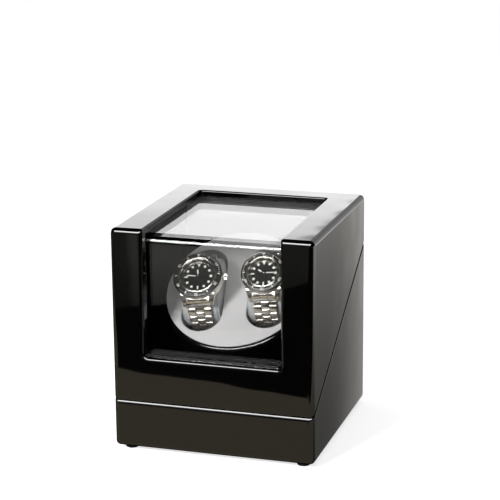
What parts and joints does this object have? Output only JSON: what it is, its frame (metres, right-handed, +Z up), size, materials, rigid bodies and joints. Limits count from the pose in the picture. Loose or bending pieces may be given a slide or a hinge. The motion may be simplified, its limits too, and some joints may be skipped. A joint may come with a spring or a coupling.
{
  "type": "watch winder box",
  "caption": "Piano-black watch winder: sloping hinged lid, bent clear window, tilted grey turntable holding two steel watches on cushions, geared drive in the base.",
  "frame": {"origin": "middle of the case's footprint on the surface it stands on", "axes": "+X to the right, +Y to the hinged back, +Z up; the window faces -Y"},
  "size_m": [0.18, 0.1829, 0.2],
  "materials": {
    "lacquer": "gloss",
    "panel": "matte",
    "flock_black": "matte",
    "pine": "matte",
    "velvet_grey": "matte",
    "clear_sheet": "gloss",
    "black_moulding": "gloss",
    "chassis_plastic": "matte",
    "gear_acetal": "satin",
    "pcb": "satin",
    "rubber": "matte",
    "clear_rubber": "satin",
    "brass": "satin",
    "zinc_steel": "satin",
    "watch_steel": "brushed",
    "hand_metal": "gloss",
    "watch_black": "gloss",
    "dial_black": "satin",
    "crystal": "gloss"
  },
  "bodies": {
    "base": {"base_shell": "lacquer", "base_floor": "panel", "floor_screws": "zinc_steel", "rubber_feet": "rubber", "deck_panel": "flock_black", "deck_battens": "pine", "chassis_brackets": "chassis_plastic", "chassis_plate": "chassis_plastic", "chassis_screws": "zinc_steel", "shaft_bush": "brass", "gear_motor": "zinc_steel", "motor_screws": "zinc_steel", "circuit_board": "pcb", "control_plate": "chassis_plastic", "dc_jack": "chassis_plastic", "hinge_base_leaves": "brass", "hinge_pins": "zinc_steel", "hinge_base_screws": "brass", "lid_bumpers": "clear_rubber"},
    "lid": {"lid_frame": "lacquer", "window": "clear_sheet", "back_liner": "velvet_grey", "hinge_lid_leaves": "brass", "hinge_lid_screws": "brass"},
    "turntable": {"turntable_plate": "black_moulding", "cup_wells": "black_moulding", "velvet_pad": "velvet_grey", "cup_liners": "velvet_grey", "drive_shaft": "zinc_steel", "drive_gear": "gear_acetal", "circlip": "zinc_steel"},
    "pinion": {"motor_pinion": "brass"},
    "knob": {"mode_knob": "chassis_plastic"},
    "rocker": {"power_rocker": "chassis_plastic"},
    "watch_left": {"cushion_left": "velvet_grey", "case_left": "watch_steel", "dial_left": "dial_black", "crystal_left": "crystal", "bracelet_left": "watch_steel", "clasp_left": "watch_steel"},
    "bezel_left": {"bezel_left": "watch_steel", "insert_left": "watch_black"},
    "hour_hand_left": {"hour_hand_left": "hand_metal"},
    "minute_hand_left": {"minute_hand_left": "hand_metal"},
    "second_hand_left": {"second_hand_left": "hand_metal"},
    "crown_left": {"crown_left": "watch_steel"},
    "watch_right": {"cushion_right": "velvet_grey", "case_right": "watch_steel", "dial_right": "dial_black", "crystal_right": "crystal", "bracelet_right": "watch_steel", "clasp_right": "watch_steel"},
    "bezel_right": {"bezel_right": "watch_steel", "insert_right": "watch_black"},
    "hour_hand_right": {"hour_hand_right": "hand_metal"},
    "minute_hand_right": {"minute_hand_right": "hand_metal"},
    "second_hand_right": {"second_hand_right": "hand_metal"},
    "crown_right": {"crown_right": "watch_steel"}
  },
  "joints": [
    {"name": "lid_hinge", "type": "hinge", "parent": "base", "child": "lid", "pos_m": [0, 0.09102, 0.15763], "axis": [-1, 0, 0], "range_deg": [0, 85]},
    {"name": "turntable_spin", "type": "hinge", "parent": "base", "child": "turntable", "pos_m": [0, -0.017, 0.1335], "axis": [0, -0.5878, 0.809], "continuous": true},
    {"name": "pinion_spin", "type": "hinge", "parent": "base", "child": "pinion", "pos_m": [0, -0.02337, 0.06707], "axis": [0, -0.5878, 0.809], "continuous": true},
    {"name": "mode_turn", "type": "hinge", "parent": "base", "child": "knob", "pos_m": [0, 0.0898, 0.071], "axis": [0, 1, 0], "range_deg": [0, 270]},
    {"name": "power_switch", "type": "hinge", "parent": "base", "child": "rocker", "pos_m": [0.024, 0.0848, 0.071], "axis": [1, 0, 0], "range_deg": [-16, 0]},
    {"name": "cushion_lift_left", "type": "slide", "parent": "turntable", "child": "watch_left", "axis": [0, -0.5878, 0.809], "range_m": [0, 0.02]},
    {"name": "bezel_turn_left", "type": "hinge", "parent": "watch_left", "child": "bezel_left", "pos_m": [-0.02772, -0.04093, 0.14878], "axis": [0.0298, -0.7295, 0.6834], "continuous": true},
    {"name": "minute_turn_left", "type": "hinge", "parent": "watch_left", "child": "minute_hand_left", "pos_m": [-0.02772, -0.04093, 0.14878], "axis": [-0.0298, 0.7295, -0.6834], "continuous": true},
    {"name": "hour_turn_left", "type": "hinge", "parent": "watch_left", "child": "hour_hand_left", "pos_m": [-0.02772, -0.04093, 0.14878], "axis": [-0.0298, 0.7295, -0.6834], "continuous": true},
    {"name": "second_turn_left", "type": "hinge", "parent": "watch_left", "child": "second_hand_left", "pos_m": [-0.02772, -0.04093, 0.14878], "axis": [-0.0298, 0.7295, -0.6834], "continuous": true},
    {"name": "crown_turn_left", "type": "hinge", "parent": "watch_left", "child": "crown_left", "pos_m": [-0.00612, -0.03494, 0.1478], "axis": [0.9877, 0.1266, 0.092], "continuous": true},
    {"name": "cushion_lift_right", "type": "slide", "parent": "turntable", "child": "watch_right", "axis": [0, -0.5878, 0.809], "range_m": [0, 0.02]},
    {"name": "bezel_turn_right", "type": "hinge", "parent": "watch_right", "child": "bezel_right", "pos_m": [0.02957, -0.03359, 0.15412], "axis": [0.0298, -0.7295, 0.6834], "continuous": true},
    {"name": "minute_turn_right", "type": "hinge", "parent": "watch_right", "child": "minute_hand_right", "pos_m": [0.02957, -0.03359, 0.15412], "axis": [-0.0298, 0.7295, -0.6834], "continuous": true},
    {"name": "hour_turn_right", "type": "hinge", "parent": "watch_right", "child": "hour_hand_right", "pos_m": [0.02957, -0.03359, 0.15412], "axis": [-0.0298, 0.7295, -0.6834], "continuous": true},
    {"name": "second_turn_right", "type": "hinge", "parent": "watch_right", "child": "second_hand_right", "pos_m": [0.02957, -0.03359, 0.15412], "axis": [-0.0298, 0.7295, -0.6834], "continuous": true},
    {"name": "crown_turn_right", "type": "hinge", "parent": "watch_right", "child": "crown_right", "pos_m": [0.04919, -0.02785, 0.15295], "axis": [0.9877, 0.1266, 0.092], "continuous": true}
  ],
  "couplings": [
    {"joint": "pinion_spin", "follows": "turntable_spin", "ratio": -4.5},
    {"joint": "hour_turn_left", "follows": "minute_turn_left", "ratio": 0.083333},
    {"joint": "hour_turn_right", "follows": "minute_turn_right", "ratio": 0.083333}
  ]
}
